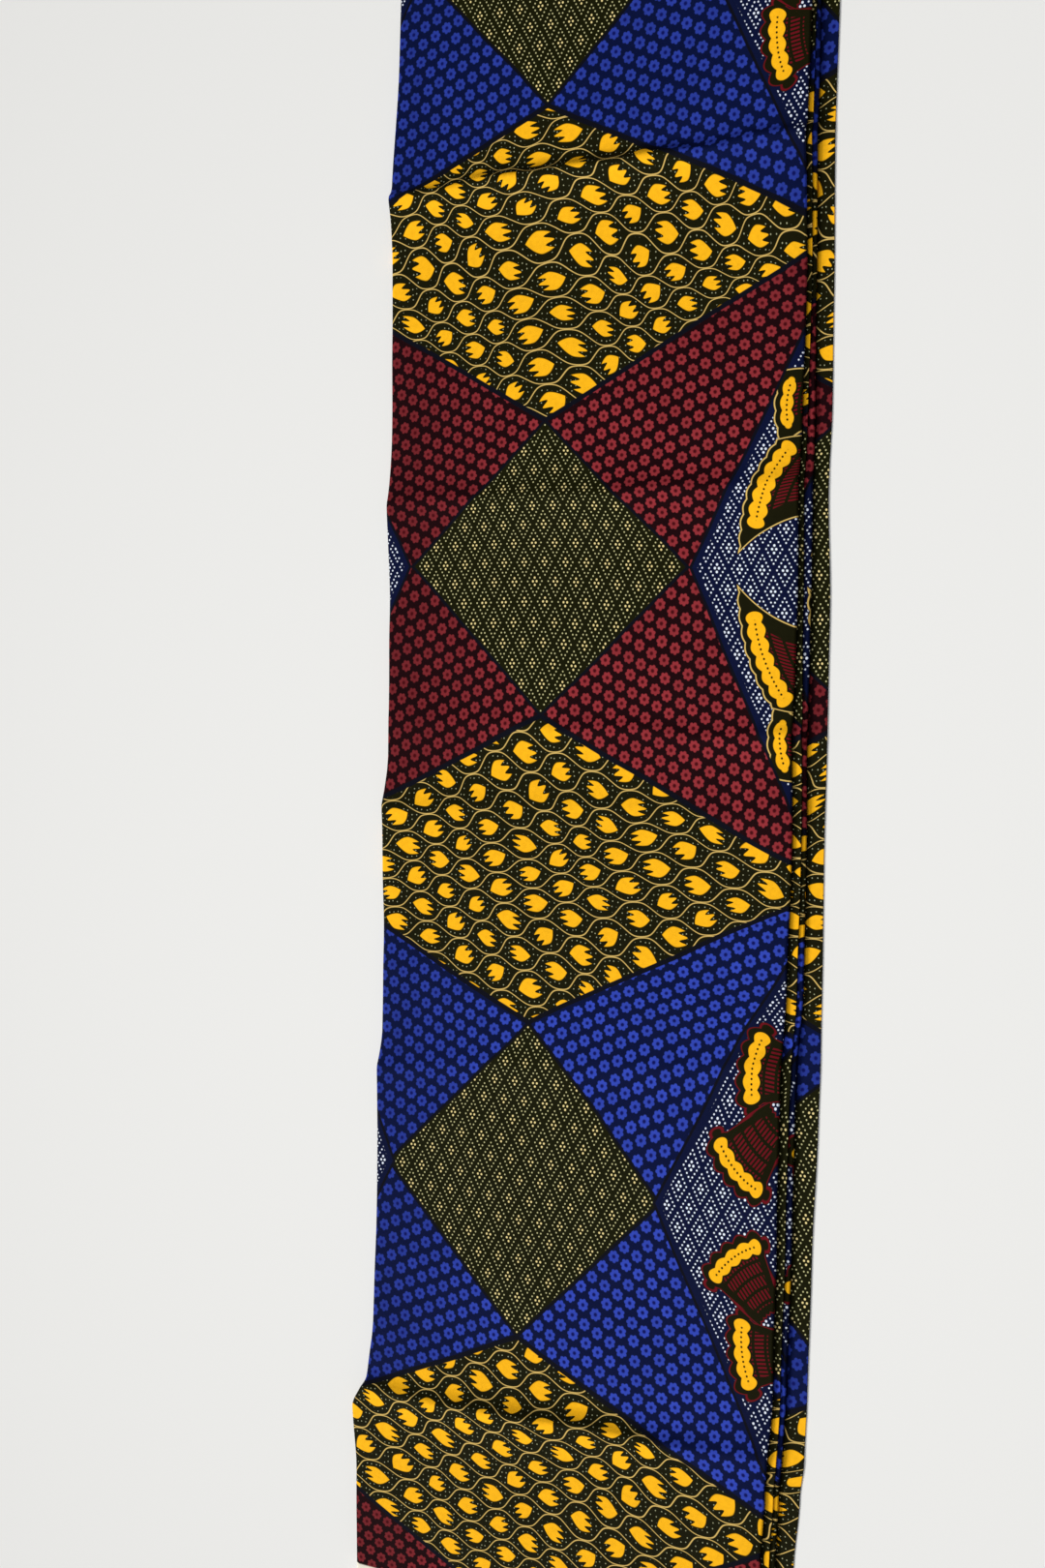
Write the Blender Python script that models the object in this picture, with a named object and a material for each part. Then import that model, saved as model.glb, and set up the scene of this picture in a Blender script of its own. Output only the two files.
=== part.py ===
"""Folded length of printed cotton, six layers deep, lying flat as one long strip.

The cloth is one sheet. Its section across the strip runs back and forth:
from the free edge at the bottom right, left along layer 6, round the outer left
fold, right along layer 1, round the top right fold, and so on inwards until it
ends at the free edge of layer 3. Metres, +Z up, the strip lies along Y with its
folded side towards -X. The origin is under the middle of the strip's box.
"""

import math

import bmesh
import bpy

# Driving dimensions
STRIP_LENGTH = 1.168        # the cloth's width from selvedge to selvedge
THICKNESS = 0.0010          # one layer of cloth
LAYER_PITCH = 0.0013        # from one layer to the next, so 0.3 mm stays open
LAYERS = 6
PANEL_STEPS = 5             # spaces across each layer
STATION_SPACING = 0.052     # widest space between two stations along the strip
END_REACH = 0.030           # the length at each end over which the layers slip apart
RIPPLE = 0.0005             # slow rise and fall of the loosely stacked layers
RIPPLE_LENGTH = 0.31
RIPPLE_SLANT = 0.8          # how far the ripples run askew, as a share of a straight run
CREASE_FALL = 1.6           # how fast a crease dies away beside its line
OUTER_FOLD_STEPS = 8
MIDDLE_FOLD_STEPS = 6
TIGHT_FOLD_STEPS = 4

# Left fold and right edges in millimetres, from the far end of the strip to the near one.
# top: the fold that joins layers 1 and 2; third: the free edge of layer 3;
# middle: the fold that joins layers 4 and 5; bottom: the free edge of layer 6
OUTLINE_COLUMNS = ("along", "left", "top", "third", "middle", "bottom")
OUTLINE_MM = (
    (590, -137.6, 125.4, 127.0, 128.6, 137.4),
    (480, -138.6, 124.6, 126.4, 128.2, 136.6),
    (395, -137.4, 125.2, 126.0, 127.4, 136.9),
    (300, -138.2, 124.2, 125.4, 127.2, 136.3),
    (228, -141.2, 123.0, 125.0, 127.2, 135.6),
    (143, -138.7, 124.6, 126.2, 128.3, 137.0),
    (83, -137.9, 123.8, 125.8, 129.2, 137.6),
    (45, -139.6, 123.3, 125.1, 129.2, 136.6),
    (-20, -136.8, 124.0, 126.0, 129.6, 139.0),
    (-100, -135.3, 122.6, 127.2, 129.2, 139.2),
    (-130, -138.4, 124.0, 128.0, 130.2, 138.9),
    (-217, -135.8, 122.6, 127.4, 130.4, 139.7),
    (-258, -135.8, 121.0, 125.4, 127.6, 139.8),
    (-285, -138.6, 120.5, 124.6, 127.4, 139.4),
    (-355, -136.8, 120.7, 124.4, 127.3, 137.6),
    (-430, -137.2, 120.3, 123.4, 126.0, 136.8),
    (-462, -140.6, 118.8, 122.6, 124.8, 136.0),
    (-482, -150.4, 117.0, 120.8, 123.2, 134.0),
    (-520, -147.4, 115.4, 119.3, 122.2, 131.3),
    (-590, -145.2, 114.6, 118.4, 121.2, 130.6),
)

# Creases across the strip, where the cloth had been folded up for storage, in millimetres:
# where each meets the strip's two sides, its height at the left, middle and right, and how
# far it reaches towards the strip's far end and its near one
CREASE_COLUMNS = (
    "along_left", "along_right", "left_height", "middle_height", "right_height", "far", "near",
)
CREASES_MM = (
    (402, 398, 1.6, 1.2, 1.6, 8, 16),
    (223, 229, 4.0, 6.6, 3.0, 5, 22),
    (48, 46, 1.8, 3.0, 2.2, 10, 22),
    (-78, -86, 0.2, 1.4, 2.0, 5, 14),
    (-128, -124, 1.6, 0.8, 1.0, 8, 16),
    (-280, -254, 1.4, 0.8, 1.6, 8, 16),
    (-470, -462, 4.6, 6.6, 1.6, 8, 18),
)

# How far each layer's ends stand past the strip's length, in millimetres, layer 1 first
SLIP_COLUMNS = ("far_end", "near_end")
END_SLIP_MM = (
    (0.0, 0.0),
    (1.6, -1.2),
    (-1.0, 1.4),
    (0.8, -0.6),
    (-1.8, 1.0),
    (1.2, 1.8),
)

CLOTH_COLOUR = (0.055, 0.042, 0.060, 1.0)
CLOTH_ROUGHNESS = 0.78

MM = 0.001
TOP = (LAYERS - 1) * LAYER_PITCH + THICKNESS


def remove_objects():
    """Empty the scene of objects."""
    for thing in list(bpy.data.objects):
        bpy.data.objects.remove(thing, do_unlink=True)


def rows_of(columns, table):
    """The table's rows as dictionaries in metres."""
    return [{name: value * MM for name, value in zip(columns, row)} for row in table]


OUTLINE = rows_of(OUTLINE_COLUMNS, OUTLINE_MM)
CREASES = rows_of(CREASE_COLUMNS, CREASES_MM)
END_SLIPS = rows_of(SLIP_COLUMNS, END_SLIP_MM)


def eased(low, high, share):
    """A smooth step from low to high."""
    share = min(max(share, 0.0), 1.0)
    return low + (high - low) * share * share * (3.0 - 2.0 * share)


def edge_at(name, along):
    """Where one edge of the outline lies at a place along the strip."""
    for upper, lower in zip(OUTLINE, OUTLINE[1:]):
        if along >= lower["along"]:
            share = (along - lower["along"]) / (upper["along"] - lower["along"])
            return eased(lower[name], upper[name], share)
    return OUTLINE[-1][name]


def strip_middle():
    """The middle of the outline from side to side."""
    leftmost = min(row["left"] for row in OUTLINE)
    rightmost = max(row["bottom"] for row in OUTLINE)
    return (leftmost + rightmost) / 2


def crease_lift(crease, share, along):
    """A crease's height at a place along the strip; share runs from 0 at its left side to 1."""
    line = crease["along_left"] + (crease["along_right"] - crease["along_left"]) * share
    if share < 0.5:
        height = eased(crease["left_height"], crease["middle_height"], 2 * share)
    else:
        height = eased(crease["middle_height"], crease["right_height"], 2 * share - 1)
    away = (along - line) / (crease["far"] if along > line else crease["near"])
    return height * math.exp(-CREASE_FALL * away * away)


def lift(across, along):
    """How far the top layer stands above the flat stack."""
    wave = math.sin(2 * math.pi * (along + RIPPLE_SLANT * across) / RIPPLE_LENGTH)
    left = edge_at("left", along)
    share = (across - left) / (edge_at("bottom", along) - left)
    return RIPPLE * (1 + wave) + sum(crease_lift(crease, share, along) for crease in CREASES)


def arc(centre, height, radius, start, turn, steps):
    """Points of a fold between its two layers, with the heading at each.

    start is the angle of the first point about the centre, turn is +180 or -180
    degrees; the ends belong to the layers and are left out.
    """
    points = []
    for step in range(1, steps):
        angle = math.radians(start + turn * step / steps)
        across = centre + radius * math.cos(angle)
        up = height + radius * math.sin(angle)
        heading = angle + math.copysign(math.pi / 2, turn)
        points.append((across, up, heading))
    return points


def layer_height(layer):
    """The height of a layer's middle; layer 1 is the top one."""
    return THICKNESS / 2 + (LAYERS - layer) * LAYER_PITCH


def panel(layer, left, shared_right, right, to_right):
    """Points along one layer, at places that all layers share, then its own right end."""
    places = [left + (shared_right - left) * step / PANEL_STEPS for step in range(PANEL_STEPS + 1)]
    if right > shared_right:
        places.append(right)
    heading = 0.0 if to_right else math.pi
    if not to_right:
        places.reverse()
    return [(place, layer_height(layer), heading, layer) for place in places]


def section(along):
    """The cloth's middle line across the strip, from the free edge of layer 6 to that of layer 3."""
    centre = (layer_height(1) + layer_height(LAYERS)) / 2
    tight = LAYER_PITCH / 2
    outer = 5 * tight
    nested = 3 * tight
    left = edge_at("left", along) + outer + THICKNESS / 2
    top = edge_at("top", along) - tight - THICKNESS / 2
    middle = edge_at("middle", along) - tight - THICKNESS / 2
    upper_fold = (layer_height(1) + layer_height(2)) / 2
    lower_fold = (layer_height(4) + layer_height(5)) / 2

    def fold(points, layers):
        first, last = layers
        marked = []
        for number, (across, up, heading) in enumerate(points, 1):
            share = number / (len(points) + 1)
            marked.append((across, up, heading, first + (last - first) * share))
        return marked

    line = panel(6, left, top, edge_at("bottom", along), False)
    line += fold(arc(left, centre, outer, 270, -180, OUTER_FOLD_STEPS), (6, 1))
    line += panel(1, left, top, top, True)
    line += fold(arc(top, upper_fold, tight, 90, -180, TIGHT_FOLD_STEPS), (1, 2))
    line += panel(2, left, top, top, False)
    line += fold(arc(left, centre, nested, 90, 180, MIDDLE_FOLD_STEPS), (2, 5))
    line += panel(5, left, top, middle, True)
    line += fold(arc(middle, lower_fold, tight, -90, 180, TIGHT_FOLD_STEPS), (5, 4))
    line += panel(4, left, top, middle, False)
    line += fold(arc(left, centre, tight, 270, -180, TIGHT_FOLD_STEPS), (4, 3))
    line += panel(3, left, top, edge_at("third", along), True)
    return line


def stations():
    """Places along the strip: its ends, three at each crease, and more where they lie far apart."""
    half = STRIP_LENGTH / 2
    places = {-half, half, -half + END_REACH, half - END_REACH}
    for crease in CREASES:
        middle = (crease["along_left"] + crease["along_right"]) / 2
        places.update((middle - crease["near"], middle, middle + crease["far"]))
    places = sorted(places)
    filled = []
    for low, high in zip(places, places[1:]):
        parts = math.ceil((high - low) / STATION_SPACING)
        filled += [low + (high - low) * part / parts for part in range(parts)]
    return filled + [places[-1]]


def slip(layer, along):
    """How far a layer's end stands past the others; 0 away from the strip's ends."""
    below = min(max(int(math.floor(layer)), 1), LAYERS - 1)
    share = layer - below
    column = "far_end" if along > 0 else "near_end"
    near = END_SLIPS[below - 1][column]
    reach = near + (END_SLIPS[below][column] - near) * share
    past = abs(along) - (STRIP_LENGTH / 2 - END_REACH)
    return math.copysign(1.0, along) * reach * max(past, 0.0) / END_REACH


def surface_points():
    """Both faces of the cloth: rows of points along the section, one row for each station."""
    middle = strip_middle()
    inner, outer = [], []
    for along in stations():
        rows = ([], [])
        for across, up, heading, layer in section(along):
            place = along + slip(layer, along)
            normal = (math.sin(heading), -math.cos(heading))
            for row, side in zip(rows, (1, -1)):
                x = across + side * normal[0] * THICKNESS / 2
                z = up + side * normal[1] * THICKNESS / 2
                z *= 1 + lift(x, along) / TOP
                row.append((x - middle, place, z))
        inner.append(rows[0])
        outer.append(rows[1])
    return inner, outer


def closed_sheet(name, inner, outer):
    """One closed mesh between the two faces."""
    shape = bmesh.new()
    faces = [[[shape.verts.new(point) for point in row] for row in side] for side in (inner, outer)]
    low, high = faces
    last_row, last_point = len(low) - 1, len(low[0]) - 1
    for row in range(last_row):
        for point in range(last_point):
            for side, back in ((low, False), (high, True)):
                corners = [
                    side[row][point],
                    side[row][point + 1],
                    side[row + 1][point + 1],
                    side[row + 1][point],
                ]
                shape.faces.new(reversed(corners) if back else corners)
        for point, back in ((0, False), (last_point, True)):
            corners = [
                low[row][point],
                low[row + 1][point],
                high[row + 1][point],
                high[row][point],
            ]
            shape.faces.new(reversed(corners) if back else corners)
    for point in range(last_point):
        for row, back in ((0, True), (last_row, False)):
            corners = [
                low[row][point],
                low[row][point + 1],
                high[row][point + 1],
                high[row][point],
            ]
            shape.faces.new(reversed(corners) if back else corners)
    if shape.calc_volume(signed=True) < 0:
        bmesh.ops.reverse_faces(shape, faces=shape.faces[:])
    mesh = bpy.data.meshes.new(name)
    shape.to_mesh(mesh)
    shape.free()
    mesh.shade_smooth()
    mesh.set_sharp_from_angle(angle=math.radians(50))
    return mesh


def cloth_material():
    """The printed cotton's mean colour and finish."""
    material = bpy.data.materials.new("printed_cotton")
    material.use_nodes = True
    finish = material.node_tree.nodes["Principled BSDF"]
    finish.inputs["Base Color"].default_value = CLOTH_COLOUR
    finish.inputs["Roughness"].default_value = CLOTH_ROUGHNESS
    finish.inputs["Metallic"].default_value = 0.0
    return material


def folded_cloth():
    """The whole folded length as one solid."""
    mesh = closed_sheet("folded_cloth", *surface_points())
    mesh.materials.append(cloth_material())
    cloth = bpy.data.objects.new("folded_cloth", mesh)
    bpy.context.scene.collection.objects.link(cloth)
    return cloth


remove_objects()
folded_cloth()
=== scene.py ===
"""Looks of a folded length of wax-print cotton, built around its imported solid.

The cloth is one thin sheet with the solid's back-and-forth section. Its print is drawn by
a material in the cloth's own flat coordinates, so it runs on round every fold.
Millimetres are used for the print and for the tables, and metres for everything placed.
"""

import math

import bmesh
import bpy
from mathutils import Matrix, Vector, noise


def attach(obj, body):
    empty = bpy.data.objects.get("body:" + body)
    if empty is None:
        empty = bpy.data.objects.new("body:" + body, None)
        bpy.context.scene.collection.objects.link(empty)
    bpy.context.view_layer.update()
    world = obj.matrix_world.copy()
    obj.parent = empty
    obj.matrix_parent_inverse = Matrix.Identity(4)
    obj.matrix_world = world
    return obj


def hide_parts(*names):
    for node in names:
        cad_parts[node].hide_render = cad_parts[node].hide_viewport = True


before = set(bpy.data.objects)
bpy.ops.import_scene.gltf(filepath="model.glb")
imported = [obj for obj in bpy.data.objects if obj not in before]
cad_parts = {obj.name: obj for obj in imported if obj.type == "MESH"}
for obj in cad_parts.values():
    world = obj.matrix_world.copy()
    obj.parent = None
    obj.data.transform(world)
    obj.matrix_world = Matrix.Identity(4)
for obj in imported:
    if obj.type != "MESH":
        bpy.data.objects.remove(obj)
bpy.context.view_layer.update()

bl_info = {
    "name": "Folded Wax Print Cotton",
    "version": (1, 0, 0),
    "blender": (4, 5, 0),
    "location": "3D View > Sidebar > Cloth",
    "description": "A folded length of printed cotton on a pale floor",
    "category": "Object",
}

NODE = "folded_cloth"
CLOTH = "printed_cloth"
MM = 0.001
LAYERS = 6

# Left fold and right edges in millimetres, from the far end of the strip to the near one.
# top: the fold that joins layers 1 and 2; third: the free edge of layer 3;
# middle: the fold that joins layers 4 and 5; bottom: the free edge of layer 6
OUTLINE_COLUMNS = ("along", "left", "top", "third", "middle", "bottom")
OUTLINE_MM = (
    (590, -137.6, 125.4, 127.0, 128.6, 137.4),
    (480, -138.6, 124.6, 126.4, 128.2, 136.6),
    (395, -137.4, 125.2, 126.0, 127.4, 136.9),
    (300, -138.2, 124.2, 125.4, 127.2, 136.3),
    (228, -141.2, 123.0, 125.0, 127.2, 135.6),
    (143, -138.7, 124.6, 126.2, 128.3, 137.0),
    (83, -137.9, 123.8, 125.8, 129.2, 137.6),
    (45, -139.6, 123.3, 125.1, 129.2, 136.6),
    (-20, -136.8, 124.0, 126.0, 129.6, 139.0),
    (-100, -135.3, 122.6, 127.2, 129.2, 139.2),
    (-130, -138.4, 124.0, 128.0, 130.2, 138.9),
    (-217, -135.8, 122.6, 127.4, 130.4, 139.7),
    (-258, -135.8, 121.0, 125.4, 127.6, 139.8),
    (-285, -138.6, 120.5, 124.6, 127.4, 139.4),
    (-355, -136.8, 120.7, 124.4, 127.3, 137.6),
    (-430, -137.2, 120.3, 123.4, 126.0, 136.8),
    (-462, -140.6, 118.8, 122.6, 124.8, 136.0),
    (-482, -150.4, 117.0, 120.8, 123.2, 134.0),
    (-520, -147.4, 115.4, 119.3, 122.2, 131.3),
    (-590, -145.2, 114.6, 118.4, 121.2, 130.6),
)

# Creases across the strip, where the cloth had been folded up for storage, in millimetres:
# where each meets the strip's two sides, its height at the left, middle and right, and how
# far it reaches towards the strip's far end and its near one
CREASE_COLUMNS = (
    "along_left", "along_right", "left_height", "middle_height", "right_height", "far", "near",
)
CREASES_MM = (
    (402, 398, 1.6, 1.2, 1.6, 8, 16),
    (223, 229, 4.0, 6.6, 3.0, 5, 22),
    (48, 46, 1.8, 3.0, 2.2, 10, 22),
    (-78, -86, 0.2, 1.4, 2.0, 5, 14),
    (-128, -124, 1.6, 0.8, 1.0, 8, 16),
    (-280, -254, 1.4, 0.8, 1.6, 8, 16),
    (-470, -462, 4.6, 6.6, 1.6, 8, 18),
)

# How far each layer's ends stand past the strip's length, in millimetres, layer 1 first
SLIP_COLUMNS = ("far_end", "near_end")
END_SLIP_MM = (
    (0.0, 0.0),
    (1.6, -1.2),
    (-1.0, 1.4),
    (0.8, -0.6),
    (-1.8, 1.0),
    (1.2, 1.8),
)

# How the print lies on the top layer, in millimetres: where its middle line runs, how far it
# is moved towards the strip's near end, and how much further 150 mm right of the middle line
DRIFT_COLUMNS = ("along", "across", "nearer", "nearer_right")
PRINT_DRIFT_MM = (
    (590, -34.5, 0.0, 0.0),
    (265, -34.5, 0.0, 7.0),
    (215, -34.2, 0.0, 8.0),
    (195, -34.0, 0.0, 9.5),
    (165, -33.2, 5.0, 11.0),
    (90, -31.4, 4.6, 8.0),
    (4, -29.8, 0.0, 9.0),
    (-60, -30.0, 2.0, 8.0),
    (-135, -31.0, 4.0, 6.0),
    (-200, -32.4, 2.0, 0.0),
    (-250, -33.8, 0.0, -5.0),
    (-335, -37.6, 0.0, 3.0),
    (-430, -37.0, -0.5, 3.0),
    (-520, -36.4, -6.0, 8.0),
    (-584, -36.0, -14.0, 0.0),
    (-590, -36.0, -14.0, 0.0),
)
DRIFT_REACH = 0.15          # from the middle line to where the shift on the right is whole

# Wings over the white dots beside a blue cross and a red one: the fan's point as distances
# out from the field's middle and up from the cross's middle in millimetres, its direction
# and half angle in degrees, the bar's distance from that point, the fan's depth and the
# bar's half width in millimetres
BLUE_WINGS = (
    (6.0, 65.2, 8.0, 15.4, 55.0, 16.0, 4.6),
    (34.9, 61.4, -50.8, 17.0, 50.0, 30.0, 4.0),
)
RED_WINGS = (
    (13.4, 87.7, 4.0, 15.0, 40.0, 18.0, 3.6),
    (-18.0, 9.5, 24.5, 13.6, 90.0, 25.0, 5.0),
)
WING_LEAN = 0.011           # how far the red wings' fans lean, in radians to the millimetre
SCALLOP_PITCH = 8.0
SCALLOP_DEPTH = 1.1
BAR_WIDTHS = (0.70, 0.34)   # a bar's narrowest share of its width, and what 1 mm of scallop adds
ROUNDED_MARGIN = 3.4        # from a wing to its rounded outline
POINTED_MARGINS = (2.6, 3.0, 5.0)   # to its pointed one: past the bar, the fan and its sides
TICK_PITCH = 2.1
RING_PITCH = 7.0
BEAD_PITCH = 2.6
BEAD_RADIUS = 0.62

# The stem between the wings, in millimetres
STEM_REACH = 118.0
STEM_HALF_WIDTH = 3.3
STEM_BULGE = 0.5
STEM_BULGE_PITCH = 13.0

# Dotted diamonds: the spacing of the ring's dots and the offset of the middle ones, in cells
RING_STEP = 0.1725
MIDDLE_STEP = 0.09
RING_RADII = (0.42, 0.48)   # in an olive diamond and among the white dots, in millimetres
MIDDLE_RADII = (0.60, 0.68)

# Flowers, in millimetres unless the note says otherwise
ROW_SHARE = 0.866           # from one row to the next, in pitches
FIRST_ROW = 0.6             # how far inside the olive diamond's side the rows start
FIRST_COLUMN = 0.12         # where the columns start, in pitches
FLOWER_NUDGE = 0.6          # how far apart a flower's furthest random places are
PETALS = 7
PETAL_DEPTH = 0.8
RIM_INSET = 0.9             # from the outer radius in to where the petals part
EYE_RADIUS = 1.05
TINTS = (0.84, 0.2)         # least ink that a flower takes, and how much more it may take

# The leaf field, in millimetres unless the note says otherwise
LEAF_BEND = (22.0, 18.0)    # span of its slow bends across and along the strip
NET_LEAN = (0.35, 0.08)     # slopes of the net's columns and rows
NET_SWING = 1.15            # how squarely a net line turns, as a bare number
NET_DEPTH = 0.53            # what a net line's wave stays under, in half cells
NET_SLOPE = 1.22            # for the wave's slope: about 2 * NET_DEPTH * NET_SWING
NET_LINE = 0.26             # half width of a net line
LEAF_SIZES = (0.86, 0.22)   # scale of the smallest leaf, and what the largest has more
LEAF_POINT = 7.4            # from a leaf's middle to its point
LEAF_TAIL = 12.0            # and to where its sides would meet behind the teeth
LEAF_HALF_HEIGHT = 5.1
LEAF_TAPER = 1.7            # how late its sides close, as an exponent
TOOTH_PITCH = 4.1
TOOTH_SWING = 2.4           # from halfway down its teeth to a tip
TOOTH_LINE = 4.6            # from a leaf's middle to halfway down its teeth
SPECK_RADIUS = 0.32
SPECK_MARGINS = (1.1, 1.5)  # how far the specks keep from a leaf and from a net line

# What turns a distance across or along the strip into one square to a field's side
DIAMOND_SIDE = 0.70
WHITE_SIDE = 0.88
LEAF_SIDE = 0.914

# Borders in millimetres: how far the dark ink reaches out of a field, and how far inside its
# side the field's ground, dots or leaves start
DIAMOND_BORDER = (0.5, 1.2, 1.8)
WHITE_BORDER = (1.6, 3.0)
LEAF_BORDER = (1.8, 1.0)
SOFT_EDGE = 0.2             # half width of an ink's soft edge

# Painted shade on the red and blue flowers, drawn darker towards the fold and the far end, in
# millimetres on the cloth:
# the distance from the middle line at which the painted shade is darkest, and the start, length and
# share of the change at the far end
DARK_AT_FOLD = -90.0
DARK_FROM = 100.0
DARK_LENGTH = 130.0
DARK_SHARE = 0.75

NEAR_END_SHIFT = 14.0       # how far the print is moved at the near end, in millimetres
THREAD_PITCH = 0.42         # of the weave, in millimetres
WOBBLE = 2.4                # span of the uneven printing, in millimetres

# Creases: how far the line wanders in metres, how fast that changes across the strip and from
# one crease to another, and the shares and falls of its broad swell and its narrow ridge
CREASE_WANDER = 0.0045
WANDER_RATES = (6.0, 90.0)
SWELL_SHARE = 0.7
SWELL_FALL = 1.6
RIDGE_SHARE = 0.3
RIDGE_FALL = 14.0


def rows_of(columns, table):
    """The table's rows as dictionaries in metres."""
    return [{name: value * MM for name, value in zip(columns, row)} for row in table]


OUTLINE = rows_of(OUTLINE_COLUMNS, OUTLINE_MM)
CREASES = rows_of(CREASE_COLUMNS, CREASES_MM)
END_SLIPS = rows_of(SLIP_COLUMNS, END_SLIP_MM)
PRINT_DRIFT = rows_of(DRIFT_COLUMNS, PRINT_DRIFT_MM)


class ClothSizes(bpy.types.PropertyGroup):
    """Sizes of the folded cloth."""

    length: bpy.props.FloatProperty(
        name="Strip length", description="From selvedge to selvedge",
        default=1.168, unit="LENGTH")
    layer_pitch: bpy.props.FloatProperty(
        name="Layer pitch", description="From the middle of one layer to the next",
        default=0.0013, unit="LENGTH", precision=4)
    solid_thickness: bpy.props.FloatProperty(
        name="Solid thickness", description="One layer of the solid that the cloth follows",
        default=0.001, unit="LENGTH", precision=4)
    thickness: bpy.props.FloatProperty(
        name="Cloth thickness", description="One layer of the cloth itself",
        default=0.0006, unit="LENGTH", precision=4)
    cut_length: bpy.props.FloatProperty(
        name="Cut length", description="The cloth's length before it was folded",
        default=1.59, unit="LENGTH")
    ripple: bpy.props.FloatProperty(
        name="Ripple", description="Half the slow rise and fall of the stacked layers",
        default=0.0005, unit="LENGTH", precision=4)
    ripple_length: bpy.props.FloatProperty(
        name="Ripple length", description="From one slow rise to the next",
        default=0.31, unit="LENGTH")
    pucker: bpy.props.FloatProperty(
        name="Pucker", description="Height of the small uneven puckers of the cloth",
        default=0.0009, unit="LENGTH", precision=4)
    pucker_length: bpy.props.FloatProperty(
        name="Pucker length", description="Rough distance from one pucker to the next",
        default=0.055, unit="LENGTH", precision=4)
    end_reach: bpy.props.FloatProperty(
        name="End reach", description="Length at each end over which the layers slip apart",
        default=0.03, unit="LENGTH")
    panel_steps: bpy.props.IntProperty(
        name="Steps across a layer", description="Mesh spaces across each layer",
        default=20, min=2)
    station_spacing: bpy.props.FloatProperty(
        name="Station spacing", description="Mesh spacing along the strip",
        default=0.008, unit="LENGTH", precision=4)
    crease_spacing: bpy.props.FloatProperty(
        name="Crease spacing", description="Mesh spacing along the strip near a crease",
        default=0.0018, unit="LENGTH", precision=4)


class PrintSizes(bpy.types.PropertyGroup):
    """Sizes of the print in millimetres."""

    repeat_across: bpy.props.FloatProperty(
        name="Repeat across", description="From one olive diamond to the next", default=400.0)
    repeat_along: bpy.props.FloatProperty(
        name="Repeat along", description="From one blue cross to the next", default=690.0)
    blue_cross: bpy.props.FloatProperty(
        name="Blue cross", description="Middle of the blue cross along the strip", default=-335.2)
    blue_half: bpy.props.FloatProperty(
        name="Blue half height", description="Half height of the blue cross's diamond", default=89.0)
    red_half: bpy.props.FloatProperty(
        name="Red half height", description="Half height of the red cross's diamond", default=83.5)
    diamond_half: bpy.props.FloatProperty(
        name="Diamond half width", description="Half width of the olive diamonds", default=90.0)
    leaf_slope: bpy.props.FloatProperty(
        name="Leaf field slope", description="Slope of the leaf field's sides", default=0.445)
    leaf_slope_beyond: bpy.props.FloatVectorProperty(
        name="Extra slope beyond a cross",
        description="How much steeper the leaf field's sides are past a blue cross and a red one",
        default=(0.05, 0.115), size=2)
    white_beside_blue: bpy.props.FloatVectorProperty(
        name="White field beside blue",
        description="Half width and half height of the white dots beside a blue cross",
        default=(113.5, 219.0), size=2)
    white_beside_red: bpy.props.FloatVectorProperty(
        name="White field beside red",
        description="Half width and half height of the white dots beside a red cross",
        default=(108.0, 214.0), size=2)
    # Painted shade: how much darker the red and blue flowers are drawn towards the fold and the far
    # end
    painted_shade_share: bpy.props.FloatProperty(
        name="Dark side",
        description="How much less red and blue ink took towards the fold and the far end",
        default=0.42, min=0.0, max=1.0)
    strip_length: bpy.props.FloatProperty(
        name="Woven width", description="From selvedge to selvedge", default=1168.0)
    selvedge: bpy.props.FloatProperty(
        name="Selvedge", description="Unprinted width at each end of the strip", default=10.0)
    blue_flower_pitch: bpy.props.FloatProperty(
        name="Blue flower pitch", description="From one blue flower to the next", default=9.4)
    red_flower_pitch: bpy.props.FloatProperty(
        name="Red flower pitch", description="From one red flower to the next", default=9.0)
    flower_share: bpy.props.FloatProperty(
        name="Flower share", description="A flower's outer radius as a share of its pitch",
        default=0.38)
    dot_cell_width: bpy.props.FloatProperty(
        name="Dot cell width", description="Width of a diamond of dots", default=13.3)
    dot_cell_height: bpy.props.FloatProperty(
        name="Dot cell height", description="Height of a diamond of dots", default=22.0)
    leaf_cell_width: bpy.props.FloatProperty(
        name="Leaf cell width", description="Width of a cell of the leaf net", default=40.0)
    leaf_cell_height: bpy.props.FloatProperty(
        name="Leaf cell height", description="Height of a cell of the leaf net", default=19.4)
    speck_pitch: bpy.props.FloatProperty(
        name="Speck pitch", description="Rough distance from one speck to the next", default=3.1)


def colour(name, description, red, green, blue):
    """A colour property; the three values are display values from 0 to 255."""
    linear = [((part / 255 + 0.055) / 1.055) ** 2.4 if part > 10 else part / 255 / 12.92
              for part in (red, green, blue)]
    return bpy.props.FloatVectorProperty(
        name=name, description=description, default=linear, size=3, subtype="COLOR",
        min=0.0, max=1.0)


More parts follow.
